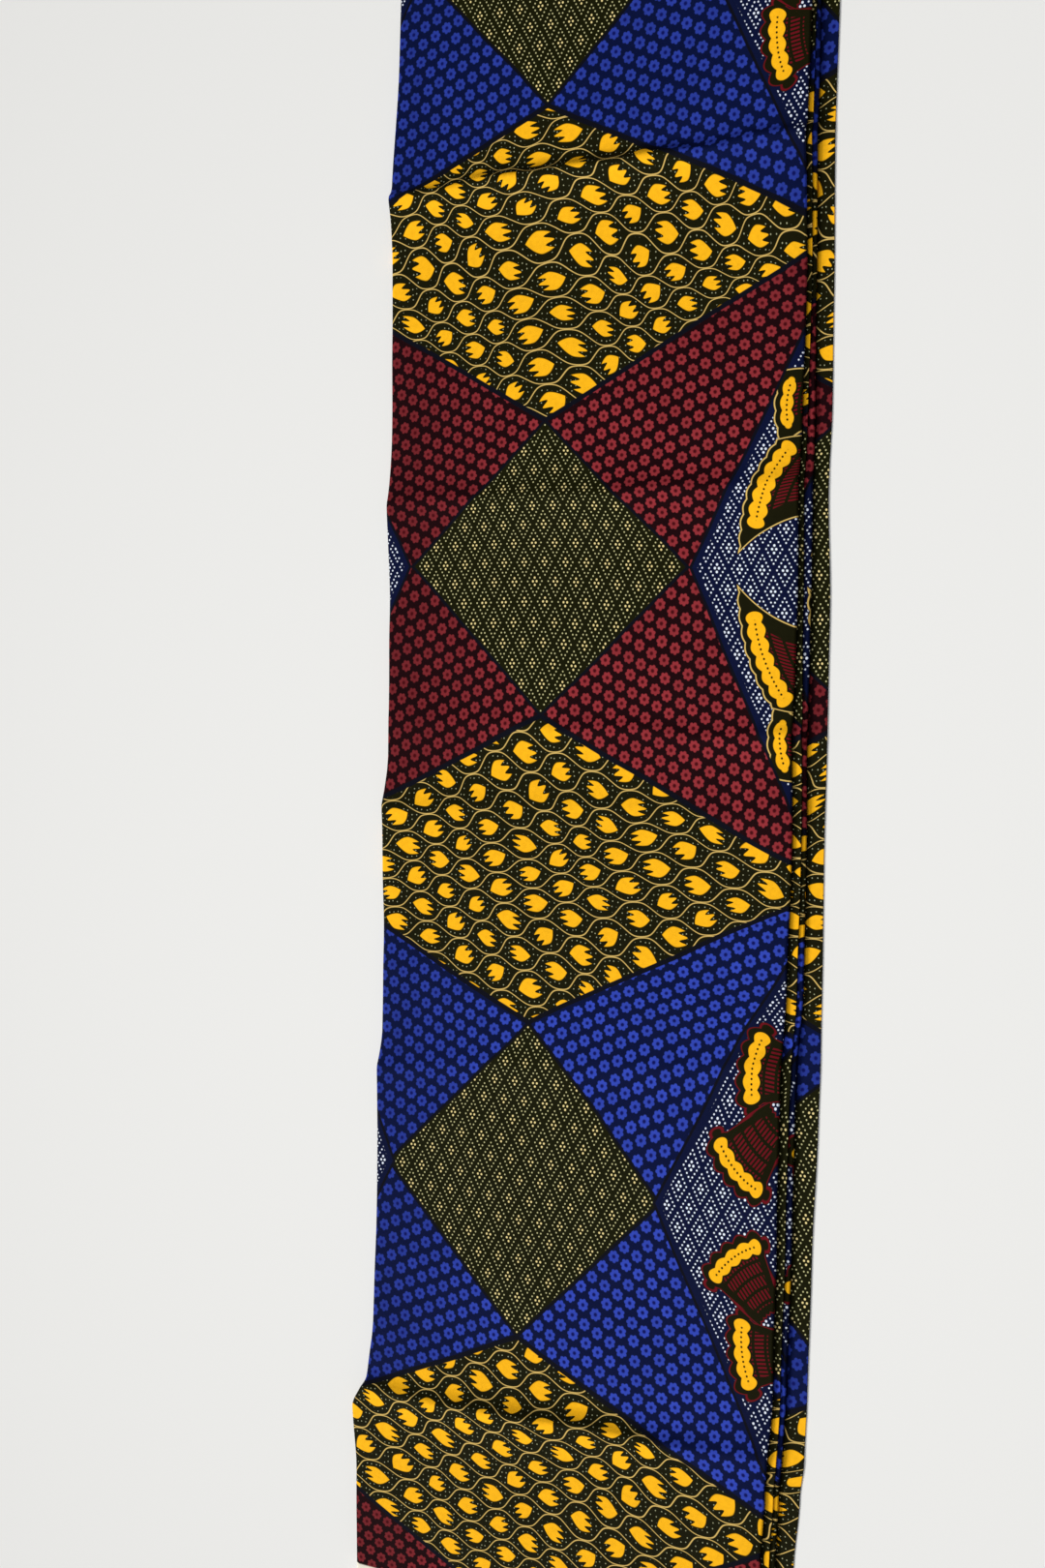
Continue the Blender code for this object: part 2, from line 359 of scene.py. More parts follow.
class PrintColours(bpy.types.PropertyGroup):
    """Inks of the print."""

    ink: colour("Dark ink", "Ground between the fields", 10, 11, 22)
    leaf_ground: colour("Leaf ground", "Ground of the leaf field", 22, 21, 3)
    leaf: colour("Leaf", "Yellow of the leaves and wing bars", 252, 184, 24)
    net: colour("Net", "Tan lines of the leaf net and the wings", 218, 184, 104)
    speck: colour("Speck", "Small pale dots of the leaf field", 172, 174, 138)
    olive_ground: colour("Olive ground", "Ground of the olive diamonds", 22, 22, 2)
    olive_dot: colour("Olive dot", "Small dots of the olive diamonds", 200, 196, 142)
    olive_middle: colour("Olive middle", "Bigger dots of the olive diamonds", 238, 218, 150)
    white_ground: colour("White dot ground", "Navy ground of the white dots", 8, 16, 50)
    white_dot: colour("White dot", "White dots", 234, 242, 255)
    red: colour("Red flower", "Petals of the red flowers", 146, 47, 53)
    red_ground: colour("Red ground", "Ground of the red flowers", 27, 3, 7)
    red_eye: colour("Red eye", "Middle of the red flowers", 70, 6, 14)
    blue: colour("Blue flower", "Petals of the blue flowers", 49, 70, 180)
    blue_ground: colour("Blue ground", "Ground of the blue flowers", 5, 15, 56)
    blue_eye: colour("Blue eye", "Middle of the blue flowers", 10, 16, 88)
    fan: colour("Fan", "Dark red ribs of the wings", 106, 14, 26)
    bare: colour("Bare cloth", "Unprinted selvedge", 232, 226, 210)


class StageSettings(bpy.types.PropertyGroup):
    """Camera, floor and lights."""

    distance: bpy.props.FloatProperty(
        name="Distance", description="Camera to the point it looks at",
        default=1.224, unit="LENGTH")
    slant: bpy.props.FloatProperty(
        name="Slant", description="Camera's angle from straight down, towards the stepped edges",
        default=math.radians(32.0), subtype="ANGLE")
    turn: bpy.props.FloatProperty(
        name="Turn", description="How far the picture is turned against the strip",
        default=math.radians(1.5), subtype="ANGLE")
    aim: bpy.props.FloatVectorProperty(
        name="Aim", description="The point on the floor that the camera looks at",
        default=(-0.0407, -0.114, 0.0), size=3, subtype="TRANSLATION")
    lens: bpy.props.FloatProperty(
        name="Lens", description="Focal length in millimetres on a 36 mm long side", default=50.0)
    key_strength: bpy.props.FloatProperty(
        name="Key strength", description="Strength of the soft light from the left and near side",
        default=3.0, min=0.0)
    key_softness: bpy.props.FloatProperty(
        name="Key softness", description="How wide the key light looks from the floor",
        default=math.radians(22.0), subtype="ANGLE")
    top_power: bpy.props.FloatProperty(
        name="Top power", description="Power of the light overhead", default=7.6, min=0.0)
    sky_strength: bpy.props.FloatProperty(
        name="Sky strength", description="Strength of the even light from all around",
        default=0.2, min=0.0)
    floor_colour: colour("Floor", "Pale floor", 233, 233, 231)
    floor_size: bpy.props.FloatProperty(
        name="Floor size", description="Side of the floor", default=14.0, unit="LENGTH")


class Number:
    """A number in a material's node tree; arithmetic on it adds Math nodes."""

    def __init__(self, tree, socket):
        self.tree = tree
        self.socket = socket

    def math(self, operation, *others):
        node = self.tree.nodes.new("ShaderNodeMath")
        node.operation = operation
        for slot, item in zip(node.inputs, (self, *others)):
            if isinstance(item, Number):
                self.tree.links.new(item.socket, slot)
            else:
                slot.default_value = item
        return Number(self.tree, node.outputs[0])

    def __add__(self, other):
        return self.math("ADD", other)

    __radd__ = __add__

    def __sub__(self, other):
        return self.math("SUBTRACT", other)

    def __mul__(self, other):
        return self.math("MULTIPLY", other)

    __rmul__ = __mul__

    def __truediv__(self, other):
        return self.math("DIVIDE", other)

    def __abs__(self):
        return self.math("ABSOLUTE")

    def floor(self):
        return self.math("FLOOR")

    def round(self):
        return self.math("ROUND")

    def sin(self):
        return self.math("SINE")

    def cos(self):
        return self.math("COSINE")

    def power(self, exponent):
        return self.math("POWER", exponent)

    def least(self, other):
        return self.math("MINIMUM", other)

    def most(self, other):
        return self.math("MAXIMUM", other)

    def above(self, other):
        return self.math("GREATER_THAN", other)

    def below(self, other):
        return self.math("LESS_THAN", other)

    def remainder(self, size):
        return self.math("FLOORED_MODULO", size)

    def between(self, low, high):
        return self.most(low).least(high)

    def centred(self, size):
        """Wrapped to half a size either side of 0."""
        return (self + size / 2).remainder(size) - size / 2

    def length(self, other):
        """The length of the pair (self, other)."""
        return (self * self + other * other).math("SQRT")

    def angle(self, across):
        return self.math("ARCTAN2", across)

    def inside(self, soft=0.12):
        """1 where the number is below 0 and 0 where it is above, with a soft step."""
        node = self.tree.nodes.new("ShaderNodeMapRange")
        node.inputs["From Min"].default_value = -soft
        node.inputs["From Max"].default_value = soft
        node.inputs["To Min"].default_value = 1.0
        node.inputs["To Max"].default_value = 0.0
        self.tree.links.new(self.socket, node.inputs["Value"])
        return Number(self.tree, node.outputs["Result"])

    def mix(self, low, high):
        """low where the number is 0 and high where it is 1."""
        return low + (high - low) * self


class Ink:
    """A colour in a material's node tree."""

    def __init__(self, tree, source):
        self.tree = tree
        self.source = source

    def feed(self, slot):
        if isinstance(self.source, bpy.types.NodeSocket):
            self.tree.links.new(self.source, slot)
        else:
            slot.default_value = (*self.source, 1.0)

    def under(self, other, share):
        """This ink covered by another one, as far as share says."""
        node = self.tree.nodes.new("ShaderNodeMix")
        node.data_type = "RGBA"
        self.tree.links.new(share.socket, node.inputs["Factor"])
        self.feed(node.inputs[6])
        other.feed(node.inputs[7])
        return Ink(self.tree, node.outputs[2])


class Drawing:
    """The print's coordinates and inks, shared by the functions that draw its fields."""

    def __init__(self, tree, sizes, colours):
        self.tree = tree
        self.sizes = sizes
        self.inks = colours
        places = tree.nodes.new("ShaderNodeUVMap")
        places.uv_map = "cloth_flat"
        split = tree.nodes.new("ShaderNodeSeparateXYZ")
        tree.links.new(places.outputs["UV"], split.inputs[0])
        flat_across = Number(tree, split.outputs[0]) * 1000.0
        flat_along = Number(tree, split.outputs[1]) * 1000.0
        self.flat = (flat_across, flat_along)
        wobble = self.noise(flat_across, flat_along, 0.012, 2)
        self.across = flat_across + (wobble[0] - 0.5) * WOBBLE
        self.along = flat_along + (wobble[1] - 0.5) * WOBBLE

    def ink(self, name):
        return Ink(self.tree, tuple(getattr(self.inks, name)))

    def point(self, across, along, third=None):
        node = self.tree.nodes.new("ShaderNodeCombineXYZ")
        for slot, value in zip(node.inputs, (across, along, third)):
            if isinstance(value, Number):
                self.tree.links.new(value.socket, slot)
            elif value is not None:
                slot.default_value = value
        return node.outputs[0]

    def noise(self, across, along, scale, detail):
        """Three slow random numbers at a place; scale is in repeats to the millimetre."""
        node = self.tree.nodes.new("ShaderNodeTexNoise")
        node.noise_dimensions = "2D"
        node.inputs["Scale"].default_value = scale
        node.inputs["Detail"].default_value = detail
        self.tree.links.new(self.point(across, along), node.inputs["Vector"])
        split = self.tree.nodes.new("ShaderNodeSeparateColor")
        self.tree.links.new(node.outputs["Color"], split.inputs[0])
        return [Number(self.tree, part) for part in split.outputs]

    def chance(self, column, row, kind):
        """Three random numbers that belong to one cell of a repeat."""
        node = self.tree.nodes.new("ShaderNodeTexWhiteNoise")
        node.noise_dimensions = "3D"
        self.tree.links.new(self.point(column, row, kind), node.inputs["Vector"])
        split = self.tree.nodes.new("ShaderNodeSeparateColor")
        self.tree.links.new(node.outputs["Color"], split.inputs[0])
        return [Number(self.tree, part) for part in split.outputs]


def dot_field(art, across, along, size):
    """Masks of a field of dotted diamonds: rings of small dots, and four bigger dots in each."""
    sizes = art.sizes
    first = across / sizes.dot_cell_width + along / sizes.dot_cell_height
    second = across / sizes.dot_cell_width - along / sizes.dot_cell_height
    first = first - first.round()
    second = second - second.round()
    on_first_side = abs(first).above(abs(second))
    ring, middle = [], []
    for share, on_side in ((first, on_first_side), (second, on_first_side * -1.0 + 1.0)):
        side = share.math("SIGN")
        stepped = (share / RING_STEP).round().between(-2.0, 2.0) * RING_STEP
        ring.append(share - on_side.mix(stepped, side * (2 * RING_STEP)))
        middle.append(share - side * MIDDLE_STEP)
    masks = []
    radii = (size.mix(*RING_RADII), size.mix(*MIDDLE_RADII))
    for offsets, radius in zip((ring, middle), radii):
        sideways = (offsets[0] + offsets[1]) * (sizes.dot_cell_width / 2)
        upward = (offsets[0] - offsets[1]) * (sizes.dot_cell_height / 2)
        masks.append((sideways.length(upward) - radius).inside(0.16))
    return masks


def flower_field(art, left_out, upward, half_height, pitch):
    """Masks of the small flowers and their eyes, in lines along the field's two long sides.

    The rows run beside the olive diamond and the columns beside the leaf field. left_out and
    upward are distances from the cross's middle, both positive.
    """
    sizes = art.sizes
    row_pitch = pitch * ROW_SHARE
    half_width = sizes.diamond_half
    side = half_height.length(half_width)
    away = (left_out * half_height + upward * half_width) / side - half_height * half_width / side
    beside = (upward - half_height) * half_height / side - left_out * half_width / side
    row_place = (away + FIRST_ROW) / row_pitch
    row = row_place.floor()
    local_away = (row_place - row - 0.5) * row_pitch
    slant = half_height * -sizes.leaf_slope + half_width
    slant = slant / (half_height + sizes.leaf_slope * half_width)
    column_place = (beside + (away - local_away) * slant) / pitch + FIRST_COLUMN
    column = column_place.floor()
    local_beside = (column_place - column - 0.5) * pitch
    luck = art.chance(column, row, 3.0)
    nudged_away = local_away + (luck[0] - 0.5) * FLOWER_NUDGE
    nudged_beside = local_beside + (luck[1] - 0.5) * FLOWER_NUDGE
    reach = nudged_away.length(nudged_beside)
    turn = nudged_away.angle(nudged_beside)
    lobes = abs((turn * (PETALS / 2) + (luck[2] * 2.0).floor() * math.pi).cos())
    rim = lobes * PETAL_DEPTH + pitch * sizes.flower_share - RIM_INSET
    flowers = (reach - rim).inside(0.28)
    eyes = (reach - EYE_RADIUS).inside(0.4)
    return flowers, eyes, luck[0]


def leaf_field(art):
    """Masks of the leaves, the net lines and the specks of the leaf field."""
    sizes = art.sizes
    across, along = art.across, art.along
    bend = art.noise(across, along, 0.009, 1)
    moved_across = across + (bend[0] - 0.5) * LEAF_BEND[0]
    moved_along = along + (bend[1] - 0.5) * LEAF_BEND[1]
    net_across = moved_across + moved_along * NET_LEAN[0]
    net_along = moved_along - moved_across * NET_LEAN[1]
    half = sizes.leaf_cell_height / 2
    width = sizes.leaf_cell_width
    row = (net_along / half).floor()
    side = row.remainder(2.0) * -2.0 + 1.0
    swing = (net_across * (2 * math.pi / width)).cos() * NET_SWING
    square = swing * swing
    flattening = square * square + 1.0
    wave = swing / flattening.power(0.25) * side * (half * NET_DEPTH)
    lower_line = row * half - wave
    upper_line = (row + 1.0) * half + wave
    gap = row + net_along.above(upper_line) - net_along.below(lower_line)
    shift = gap.remainder(2.0) * 0.5
    column = (net_across / width - shift).round()
    leaf_across = net_across - (column + shift) * width
    leaf_along = net_along - (gap + 0.5) * half
    steep = (net_across * (2 * math.pi / width)).sin() * (half * NET_SLOPE * math.pi / width)
    steep = steep / flattening.power(1.25)
    reach = abs(net_along - lower_line).least(abs(net_along - upper_line))
    reach = reach / (steep * steep + 1.0).math("SQRT")
    lines = (reach - NET_LINE).inside(0.14)

    luck = art.chance(column, gap, 7.0)
    turn = luck[0] - 0.5
    flip = (luck[1] - 0.5).math("SIGN")
    size = luck[2] * LEAF_SIZES[1] + LEAF_SIZES[0]
    turned_across = (leaf_across * turn.cos() + leaf_along * turn.sin()) * flip / size
    turned_along = (leaf_along * turn.cos() - leaf_across * turn.sin()) / size
    stretch = (turned_across / LEAF_POINT).most(turned_across / -LEAF_TAIL).between(0.0, 2.0)
    body = abs(turned_along) - (stretch.power(LEAF_TAPER) * -LEAF_HALF_HEIGHT + LEAF_HALF_HEIGHT)
    teeth = (turned_along * (2 * math.pi / TOOTH_PITCH)).cos() * -TOOTH_SWING
    teeth = teeth - TOOTH_LINE - turned_across
    outline = body.most(teeth)
    leaves = outline.inside(0.25)

    specks = art.tree.nodes.new("ShaderNodeTexVoronoi")
    specks.voronoi_dimensions = "2D"
    specks.inputs["Scale"].default_value = 1 / sizes.speck_pitch
    specks.inputs["Randomness"].default_value = 0.4
    art.tree.links.new(art.point(across, along), specks.inputs["Vector"])
    speck_reach = Number(art.tree, specks.outputs["Distance"]) * sizes.speck_pitch
    clear = (outline * -1.0 + SPECK_MARGINS[0]).inside(SOFT_EDGE)
    clear = clear * (reach * -1.0 + SPECK_MARGINS[1]).inside(SOFT_EDGE)
    return leaves, lines, (speck_reach - SPECK_RADIUS).inside(0.14) * clear


def wing(art, ground, outward, upward, shape, is_red, line_ink):
    """One wing over the white dots: a scalloped beaded bar on a ribbed fan, in an outline.

    shape: the fan's point as distances out and up, its direction and half angle in degrees,
    the bar's distance from that point, the fan's depth and the bar's half width. The outline
    is rounded beside a blue cross and pointed beside a red one.
    """
    point_out, point_up, direction, half_angle, radius, depth, thickness = shape
    from_point = (outward - point_out, upward - point_up)
    reach = from_point[0].length(from_point[1])
    turn = from_point[1].angle(from_point[0]) - direction * (math.pi / 180)
    half = half_angle * (math.pi / 180)
    along_bar = turn * radius
    beyond = (abs(turn) - half).most(0.0) * radius
    scallops = abs((along_bar * (math.pi / SCALLOP_PITCH)).cos()) * SCALLOP_DEPTH
    swell = scallops * BAR_WIDTHS[1] + BAR_WIDTHS[0]
    bar = (reach - radius).length(beyond) - swell * thickness
    leant = turn - is_red * (radius - reach) * WING_LEAN
    sides = (abs(leant) - half) * reach
    fan = (abs(reach - radius + depth / 2) - depth / 2).most(sides)
    rounded = fan.least(bar) - ROUNDED_MARGIN - scallops
    past_bar, past_fan, past_sides = POINTED_MARGINS
    pointed = reach - radius - thickness - past_bar - scallops
    pointed = pointed.most(radius - depth - past_fan - reach)
    pointed = pointed.most(sides - thickness - past_sides)
    whole = is_red.mix(rounded, pointed)

    ticks = (leant * reach * (2 * math.pi / TICK_PITCH)).sin().above(0.0)
    rings = ((reach - radius) * (2 * math.pi / RING_PITCH)).cos().below(0.72)
    beads = (along_bar + BEAD_PITCH / 2).centred(BEAD_PITCH).length(reach - radius)
    beads = (beads - BEAD_RADIUS).inside(0.15) * (abs(turn) - half).inside(0.01)

    colour_now = ground.under(art.ink("leaf_ground"), (whole - 0.7).inside())
    colour_now = colour_now.under(line_ink, (abs(whole) - 0.4).inside(0.15))
    colour_now = colour_now.under(art.ink("fan"), (fan + 0.4).inside() * ticks * rings)
    colour_now = colour_now.under(art.ink("leaf_ground"), (bar - 1.2).inside())
    colour_now = colour_now.under(art.ink("leaf"), bar.inside(SOFT_EDGE))
    return colour_now.under(art.ink("leaf_ground"), beads)


def wing_group(art, ground, outward, upward, is_red):
    """The wings and the stem over the white dots, mirrored about the field's two middle lines."""
    line_ink = art.ink("fan").under(art.ink("net"), is_red)
    held = upward.least(STEM_REACH)
    bulge = (held * (2 * math.pi / STEM_BULGE_PITCH)).cos() * STEM_BULGE
    stem = outward.length(upward - held) - (bulge + STEM_HALF_WIDTH)
    colour_now = ground.under(line_ink, (stem - 3.4).inside())
    colour_now = colour_now.under(art.ink("leaf_ground"), (stem - 2.6).inside())
    colour_now = colour_now.under(art.ink("leaf"), stem.inside(SOFT_EDGE))
    colour_now = colour_now.under(art.ink("leaf_ground"), (stem + 2.6).inside(SOFT_EDGE))
    for blue_wing, red_wing in zip(BLUE_WINGS, RED_WINGS):
        shape = [is_red.mix(low, high) for low, high in zip(blue_wing, red_wing)]
        colour_now = wing(art, colour_now, outward, upward, shape, is_red, line_ink)
    return colour_now


def draw_print(art):
    """The whole print as one ink, from the fields' outlines inwards."""
    sizes = art.sizes
    half_repeat = sizes.repeat_along / 2
    across = art.across.centred(sizes.repeat_across)
    in_repeat = (art.along - sizes.blue_cross + half_repeat / 2).remainder(sizes.repeat_along)
    is_red = in_repeat.above(half_repeat)
    from_cross = in_repeat.remainder(half_repeat) - half_repeat / 2
    out = abs(across)
    up = abs(from_cross)
    to_white_middle = out * -1.0 + sizes.repeat_across / 2
    half_height = is_red.mix(sizes.blue_half, sizes.red_half)

    rhomb = out / sizes.diamond_half + up / half_height - 1.0
    diamond = rhomb * (sizes.diamond_half * DIAMOND_SIDE)
    halves = zip(sizes.white_beside_blue, sizes.white_beside_red)
    white_width, white_height = [is_red.mix(low, high) for low, high in halves]
    white_rhomb = to_white_middle / white_width + up / white_height - 1.0
    white_edge = white_rhomb * white_width * WHITE_SIDE
    steeper = is_red.mix(*sizes.leaf_slope_beyond) * from_cross.above(0.0)
    leaf_edge = (half_height + out * (steeper + sizes.leaf_slope) - up) * LEAF_SIDE

    pitch = is_red.mix(sizes.blue_flower_pitch, sizes.red_flower_pitch)
    flowers, eyes, tint = flower_field(art, out, up, half_height, pitch)
    # Painted shade: the red and blue flowers are drawn darker towards the fold and the far end
    dark = (art.flat[0] / DARK_AT_FOLD).between(0.0, 1.0)
    dark = dark.most(((art.flat[1] - DARK_FROM) / DARK_LENGTH).between(0.0, DARK_SHARE))
    petal_cover_with_shade = flowers * (dark * -sizes.painted_shade_share + 1.0) * (tint * TINTS[1] + TINTS[0])
    red_field = art.ink("red_ground").under(art.ink("red"), petal_cover_with_shade).under(art.ink("red_eye"), eyes)
    blue_field = art.ink("blue_ground").under(art.ink("blue"), petal_cover_with_shade)
    blue_field = blue_field.under(art.ink("blue_eye"), eyes)
    colour_now = blue_field.under(red_field, is_red)

    in_white_field = white_edge.inside(SOFT_EDGE)
    side = across.math("SIGN")
    on_white = in_white_field.above(0.5)
    dot_across = on_white.mix(across, to_white_middle * side * -1.0)
    small_dots, big_dots = dot_field(art, dot_across, from_cross, on_white)
    olive = art.ink("olive_ground").under(art.ink("olive_dot"), small_dots)
    olive = olive.under(art.ink("olive_middle"), big_dots)
    out_of_it, ground_inside, dots_inside = DIAMOND_BORDER
    colour_now = colour_now.under(art.ink("ink"), (diamond - out_of_it).inside(SOFT_EDGE))
    in_ground = (diamond + ground_inside).inside(SOFT_EDGE)
    colour_now = colour_now.under(art.ink("olive_ground"), in_ground)
    colour_now = colour_now.under(olive, (diamond + dots_inside).inside(SOFT_EDGE))

    out_of_it, dots_inside = WHITE_BORDER
    white_dots = small_dots.most(big_dots) * (white_edge + dots_inside).inside(SOFT_EDGE)
    white = art.ink("white_ground").under(art.ink("white_dot"), white_dots)
    white = wing_group(art, white, to_white_middle, up, is_red)
    colour_now = colour_now.under(art.ink("ink"), (white_edge - out_of_it).inside(SOFT_EDGE))
    colour_now = colour_now.under(white, in_white_field)

    out_of_it, leaves_inside = LEAF_BORDER
    leaves, lines, specks = leaf_field(art)
    leafy = art.ink("leaf_ground").under(art.ink("speck"), specks)
    leafy = leafy.under(art.ink("net"), lines).under(art.ink("leaf"), leaves)
    colour_now = colour_now.under(art.ink("ink"), (leaf_edge - out_of_it).inside(SOFT_EDGE))
    colour_now = colour_now.under(leafy, (leaf_edge + leaves_inside).inside(SOFT_EDGE))

    half_shift = NEAR_END_SHIFT / 2
    printed_half = sizes.strip_length / 2 + half_shift - sizes.selvedge
    past = abs(art.flat[1] + half_shift) - printed_half
    return colour_now.under(art.ink("bare"), (past * -1.0).inside(0.4))


def print_material(sizes, colours):
    """Printed plain-weave cotton: the print, an uneven take-up of ink, and the weave's relief."""
    material = bpy.data.materials.new("wax_print_cotton")
    material.use_nodes = True
    tree = material.node_tree
    finish = tree.nodes["Principled BSDF"]
    art = Drawing(tree, sizes, colours)
    drawn = draw_print(art)

    patchy = art.noise(art.flat[0], art.flat[1], 0.35, 3)[0]
    tone = tree.nodes.new("ShaderNodeHueSaturation")
    drawn.feed(tone.inputs["Color"])
    tree.links.new((patchy * 0.24 + 0.88).socket, tone.inputs["Value"])
    tree.links.new(tone.outputs["Color"], finish.inputs["Base Color"])

    rough = art.noise(art.flat[0], art.flat[1], 0.05, 2)[1] * 0.12 + 0.66
    tree.links.new(rough.socket, finish.inputs["Roughness"])
    finish.inputs["Specular IOR Level"].default_value = 0.04

    weave = 2 * math.pi / THREAD_PITCH
    threads = (art.flat[0] * weave).sin() * (art.flat[1] * weave).sin()
    slub = art.noise(art.flat[0] * 0.3, art.flat[1] * 1.6, 0.8, 2)[0]
    relief = threads * 0.5 + slub
    bump = tree.nodes.new("ShaderNodeBump")
    bump.inputs["Strength"].default_value = 0.35
    bump.inputs["Distance"].default_value = 0.00012
    tree.links.new(relief.socket, bump.inputs["Height"])
    tree.links.new(bump.outputs["Normal"], finish.inputs["Normal"])
    return material


def eased(low, high, share):
    """A smooth step from low to high."""
    share = min(max(share, 0.0), 1.0)
    return low + (high - low) * share * share * (3.0 - 2.0 * share)


def read_table(table, name, along):
    """A column of a table at a place along the strip."""
    for upper, lower in zip(table, table[1:]):
        if along >= lower["along"]:
            share = (along - lower["along"]) / (upper["along"] - lower["along"])
            return eased(lower[name], upper[name], share)
    return table[-1][name]


def strip_middle():
    """The middle of the outline from side to side, where the solid has its origin."""
    leftmost = min(row["left"] for row in OUTLINE)
    rightmost = max(row["bottom"] for row in OUTLINE)
    return (leftmost + rightmost) / 2


def crease_lift(crease, share, along):
    """A crease's height at a place along the strip; share runs from 0 at its left side to 1.

    The line wanders a little, and part of the height stands in a narrow ridge along it.
    """
    line = crease["along_left"] + (crease["along_right"] - crease["along_left"]) * share
    place = Vector((share * WANDER_RATES[0], crease["along_left"] * WANDER_RATES[1], 0.0))
    line += CREASE_WANDER * noise.noise(place)
    if share < 0.5:
        height = eased(crease["left_height"], crease["middle_height"], 2 * share)
    else:
        height = eased(crease["middle_height"], crease["right_height"], 2 * share - 1)
    away = (along - line) / (crease["far"] if along > line else crease["near"])
    swell = SWELL_SHARE * math.exp(-SWELL_FALL * away * away)
    ridge = RIDGE_SHARE * math.exp(-RIDGE_FALL * away * away)
    return height * (swell + ridge)


class FoldedSheet:
    """The middle surface of the folded cloth, and the mesh of both its faces."""

    def __init__(self, sizes):
        self.sizes = sizes
        self.top = (LAYERS - 1) * sizes.layer_pitch + sizes.solid_thickness
        self.middle = strip_middle()

    def layer_height(self, layer):
        sizes = self.sizes
        return sizes.solid_thickness / 2 + (LAYERS - layer) * sizes.layer_pitch

    def lift(self, across, along, edges):
        """How far the top layer stands above the flat stack."""
        sizes = self.sizes
        wave = math.sin(2 * math.pi * (along + 0.8 * across) / sizes.ripple_length)
        place = Vector((across, along * 1.6, 0.0)) / sizes.pucker_length
        height = sizes.ripple * (1 + wave) + sizes.pucker * noise.noise(place)
        share = (across - edges["left"]) / (edges["bottom"] - edges["left"])
        return height + sum(crease_lift(crease, share, along) for crease in CREASES)

    def section(self, along):
        """Points across the strip as (across, up, heading, layer), with the fold edges."""
        sizes = self.sizes
        tight = sizes.layer_pitch / 2
        outer = (LAYERS - 1) * tight
        edges = {name: read_table(OUTLINE, name, along) for name in OUTLINE_COLUMNS[1:]}
        left = edges["left"] + outer + sizes.solid_thickness / 2
        top = edges["top"] - tight - sizes.solid_thickness / 2
        middle = edges["middle"] - tight - sizes.solid_thickness / 2
        heights = {layer: self.layer_height(layer) for layer in range(1, LAYERS + 1)}

        def panel(layer, right, to_right):
            places = [left + (top - left) * step / sizes.panel_steps
                      for step in range(sizes.panel_steps + 1)]
            if right > top:
                places += [(top + right) / 2, right]
            heading = 0.0
            if not to_right:
                heading = math.pi
                places.reverse()
            return [(place, heights[layer], heading, layer) for place in places]

        def fold(centre, layers, start, turn, steps):
            first, last = layers
            height = (heights[first] + heights[last]) / 2
            radius = abs(heights[first] - heights[last]) / 2
            points = []
            for step in range(1, steps):
                share = step / steps
                angle = math.radians(start + turn * share)
                points.append((
                    centre + radius * math.cos(angle),
                    height + radius * math.sin(angle),
                    angle + math.copysign(math.pi / 2, turn),
                    first + (last - first) * share,
                ))
            return points

        line = panel(6, edges["bottom"], False)
        line += fold(left, (6, 1), 270, -180, 16)
        start_of_top = len(line)
        line += panel(1, top, True)
        line += fold(top, (1, 2), 90, -180, 6)
        line += panel(2, top, False)
        line += fold(left, (2, 5), 90, 180, 12)
        line += panel(5, middle, True)
        line += fold(middle, (5, 4), -90, 180, 6)
        line += panel(4, middle, False)
        line += fold(left, (4, 3), 270, -180, 6)
        line += panel(3, edges["third"], True)
        return line, edges, start_of_top

    def stations(self):
        """Places along the strip, closer together near the creases."""
        half = self.sizes.length / 2
        places = [-half]
        while places[-1] < half:
            here = places[-1]
            near = min(self.crease_distance(crease, here) for crease in CREASES)
            step = self.sizes.crease_spacing if near < 1.0 else self.sizes.station_spacing
            places.append(min(here + step, half))
        if places[-1] - places[-2] < self.sizes.crease_spacing / 2:
            places.pop(-2)
        return places

    def crease_distance(self, crease, along):
        """The distance from a crease's span, in parts of its reach to that side."""
        low = min(crease["along_left"], crease["along_right"])
        high = max(crease["along_left"], crease["along_right"])
        return max((low - along) / crease["near"], (along - high) / crease["far"], 0.0)

    def slip(self, layer, along):
        """How far a layer's end stands past the others."""
        below = min(max(int(math.floor(layer)), 1), LAYERS - 1)
        share = layer - below
        column = "far_end" if along > 0 else "near_end"
        near = END_SLIPS[below - 1][column]
        reach = near + (END_SLIPS[below][column] - near) * share
        past = abs(along) - (self.sizes.length / 2 - self.sizes.end_reach)
        return math.copysign(1.0, along) * reach * max(past, 0.0) / self.sizes.end_reach

    def row(self, along):
        """Both faces' points at one station, and the flat place of each."""
        line, edges, start_of_top = self.section(along)
        reached = [0.0]
        for before, after in zip(line, line[1:]):
            reached.append(reached[-1] + math.dist(before[:2], after[:2]))
        drift = {name: read_table(PRINT_DRIFT, name, along) for name in DRIFT_COLUMNS[1:]}
        zero = reached[start_of_top] - (line[start_of_top][0] - drift["across"])
        inner, outer, flat = [], [], []
        for (across, up, heading, layer), path in zip(line, reached):
            place = along + self.slip(layer, along)
            normal = (math.sin(heading), -math.cos(heading))
            for side, row in ((1, inner), (-1, outer)):
                x = across + side * normal[0] * self.sizes.thickness / 2
                z = up + side * normal[1] * self.sizes.thickness / 2
                z += self.lift(x, along, edges) * z / self.top
                row.append((x - self.middle, place, z))
            to_right = min(max(path - zero, 0.0) / DRIFT_REACH, 1.0)
            nearer = drift["nearer"] + drift["nearer_right"] * to_right
            flat.append((path - zero, along + nearer))
        return inner, outer, flat

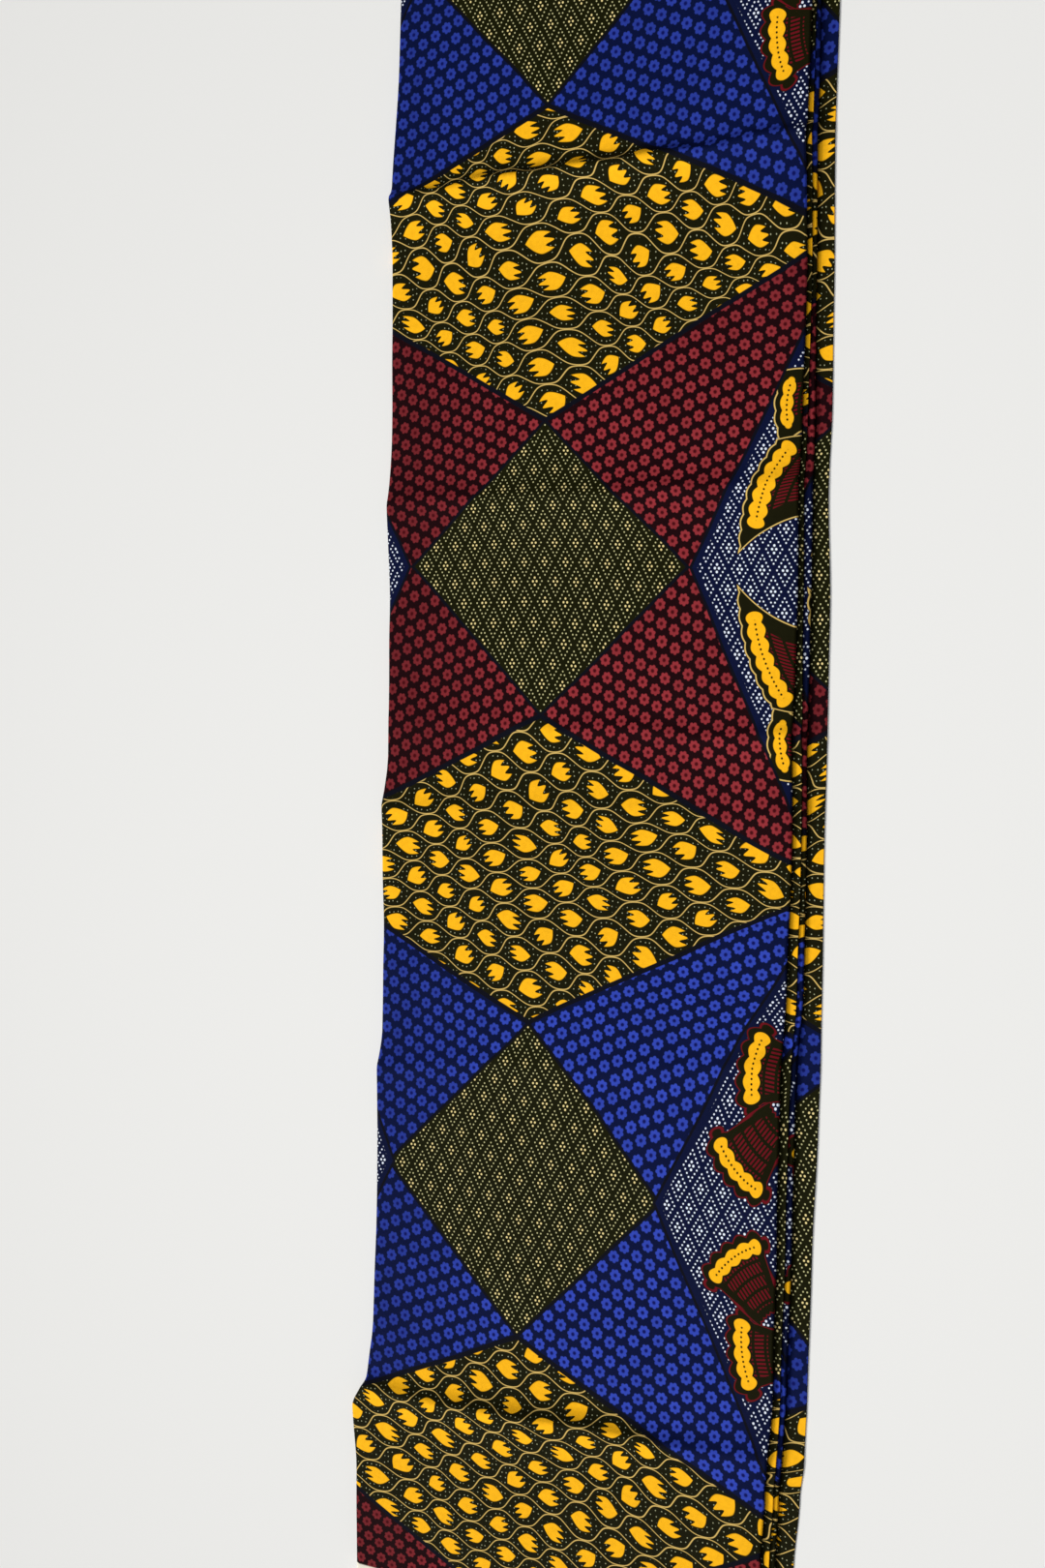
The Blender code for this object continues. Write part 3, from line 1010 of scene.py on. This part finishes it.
    def taken_up(self, rows):
        """How much longer each line along the cloth is than its plan, from the middle row on."""
        totals = [[0.0] * len(rows[0][2])]
        for (_, before, _), (_, after, _) in zip(rows, rows[1:]):
            steps = [(high[1] - low[1], high[2] - low[2]) for low, high in zip(before, after)]
            totals.append([
                total + math.hypot(plan, rise) - abs(plan)
                for total, (plan, rise) in zip(totals[-1], steps)])
        middle = totals[len(totals) // 2]
        return [[total - zero for total, zero in zip(row, middle)] for row in totals]

    def mesh(self):
        """One closed mesh between the two faces, with the flat places as its map."""
        rows = [self.row(along) for along in self.stations()]
        shape = bmesh.new()
        flat_map = shape.loops.layers.uv.new("cloth_flat")
        sides, places = ([], []), {}
        for (inner, outer, flat), extra in zip(rows, self.taken_up(rows)):
            followed = [(across, along + more) for (across, along), more in zip(flat, extra)]
            for side, points in zip(sides, (inner, outer)):
                made = [shape.verts.new(point) for point in points]
                side.append(made)
                places.update(zip(made, followed))
        low, high = sides
        last_row, last_point = len(low) - 1, len(low[0]) - 1

        def patch(corners, back):
            face = shape.faces.new(reversed(corners) if back else corners)
            face.smooth = True
            for loop in face.loops:
                loop[flat_map].uv = places[loop.vert]

        for row in range(last_row):
            for point in range(last_point):
                for side, back in ((low, False), (high, True)):
                    patch([side[row][point], side[row][point + 1],
                           side[row + 1][point + 1], side[row + 1][point]], back)
            for point, back in ((0, False), (last_point, True)):
                patch([low[row][point], low[row + 1][point],
                       high[row + 1][point], high[row][point]], back)
        for point in range(last_point):
            for row, back in ((0, True), (last_row, False)):
                patch([low[row][point], low[row][point + 1],
                       high[row][point + 1], high[row][point]], back)
        if shape.calc_volume(signed=True) < 0:
            bmesh.ops.reverse_faces(shape, faces=shape.faces[:])
        mesh = bpy.data.meshes.new(CLOTH)
        shape.to_mesh(mesh)
        shape.free()
        mesh.set_sharp_from_angle(angle=math.radians(55))
        return mesh


class CLOTH_OT_folded_cloth(bpy.types.Operator):
    """Make the folded printed cloth on its solid"""

    bl_idname = "cloth.folded_cloth"
    bl_label = "Folded cloth"

    def execute(self, context):
        scene = context.scene
        sizes = scene.cloth_sizes
        mesh = FoldedSheet(sizes).mesh()
        mesh.materials.append(print_material(scene.print_sizes, scene.print_colours))
        cloth = bpy.data.objects.new(CLOTH, mesh)
        scene.collection.objects.link(cloth)
        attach(cloth, "root")
        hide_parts(NODE)
        return {"FINISHED"}


def floor_material(settings):
    """Matte pale floor."""
    material = bpy.data.materials.new("pale_floor")
    material.use_nodes = True
    tree = material.node_tree
    finish = tree.nodes["Principled BSDF"]
    finish.inputs["Base Color"].default_value = (*settings.floor_colour, 1.0)
    finish.inputs["Roughness"].default_value = 0.9
    finish.inputs["Specular IOR Level"].default_value = 0.1
    return material


def place_light(data, place, target):
    """Put a light at a place and turn it so that it shines at a point."""
    light = bpy.data.objects.new(data.name, data)
    light.location = place
    back = (Vector(place) - Vector(target)).normalized()
    side = Vector((0.0, 1.0, 0.0)).cross(back).normalized()
    light.rotation_euler = Matrix((side, back.cross(side), back)).transposed().to_euler()
    bpy.context.scene.collection.objects.link(light)


class CLOTH_OT_stage(bpy.types.Operator):
    """Make the floor, the lights and the camera"""

    bl_idname = "cloth.stage"
    bl_label = "Stage"

    def execute(self, context):
        scene = context.scene
        settings = scene.stage_settings
        half = settings.floor_size / 2
        plane = bpy.data.meshes.new("floor")
        plane.from_pydata(
            [(-half, -half, 0), (half, -half, 0), (half, half, 0), (-half, half, 0)], [],
            [(0, 1, 2, 3)])
        plane.materials.append(floor_material(settings))
        floor = bpy.data.objects.new("floor", plane)
        scene.collection.objects.link(floor)

        self.make_camera(scene, settings)
        key = bpy.data.lights.new("key_light", "SUN")
        key.energy = settings.key_strength
        key.angle = settings.key_softness
        key.color = (1.0, 0.985, 0.96)
        place_light(key, (-3.0, -3.2, 3.1), (0, -0.1, 0))
        top = bpy.data.lights.new("top_light", "AREA")
        top.shape = "DISK"
        top.size = 1.0
        top.energy = settings.top_power
        top.color = (0.97, 0.98, 1.0)
        place_light(top, (0.0, -0.2, 1.5), (0.0, -0.2, 0))
        world = bpy.data.worlds.new("studio")
        world.use_nodes = True
        sky = world.node_tree.nodes["Background"]
        sky.inputs["Color"].default_value = (0.97, 0.98, 1.0, 1.0)
        sky.inputs["Strength"].default_value = settings.sky_strength
        scene.world = world
        scene.view_settings.view_transform = "Standard"
        return {"FINISHED"}

    def make_camera(self, scene, settings):
        """Look down at the strip, slanted towards its stepped side, with a small turn."""
        data = bpy.data.cameras.new("camera")
        data.lens = settings.lens
        data.sensor_width = 36.0
        data.sensor_fit = "AUTO"
        data.clip_end = 50.0
        camera = bpy.data.objects.new("camera", data)
        turn = Matrix.Rotation(settings.turn, 4, "Z")
        lean = Matrix.Rotation(settings.slant, 4, "Y")
        back = turn @ lean
        place = Vector(settings.aim) + back @ Vector((0.0, 0.0, settings.distance))
        camera.matrix_world = Matrix.Translation(place) @ back
        scene.collection.objects.link(camera)
        scene.camera = camera


class CLOTH_PT_sidebar(bpy.types.Panel):
    """Lists the steps in the 3D view's sidebar"""

    bl_label = "Folded cloth"
    bl_idname = "CLOTH_PT_sidebar"
    bl_space_type = "VIEW_3D"
    bl_region_type = "UI"
    bl_category = "Cloth"

    def draw(self, context):
        column = self.layout.column(align=True)
        for step in STEPS:
            column.operator(step.bl_idname)


GROUPS = {
    "cloth_sizes": ClothSizes,
    "print_sizes": PrintSizes,
    "print_colours": PrintColours,
    "stage_settings": StageSettings,
}
STEPS = (CLOTH_OT_stage, CLOTH_OT_folded_cloth)


def register():
    for group in GROUPS.values():
        bpy.utils.register_class(group)
    for name, group in GROUPS.items():
        setattr(bpy.types.Scene, name, bpy.props.PointerProperty(type=group))
    for step in (*STEPS, CLOTH_PT_sidebar):
        bpy.utils.register_class(step)


def unregister():
    for step in (CLOTH_PT_sidebar, *STEPS):
        bpy.utils.unregister_class(step)
    for name in GROUPS:
        delattr(bpy.types.Scene, name)
    for group in GROUPS.values():
        bpy.utils.unregister_class(group)


def main():
    register()
    bpy.ops.cloth.stage()
    bpy.ops.cloth.folded_cloth()


if __name__ == "__main__":
    main()
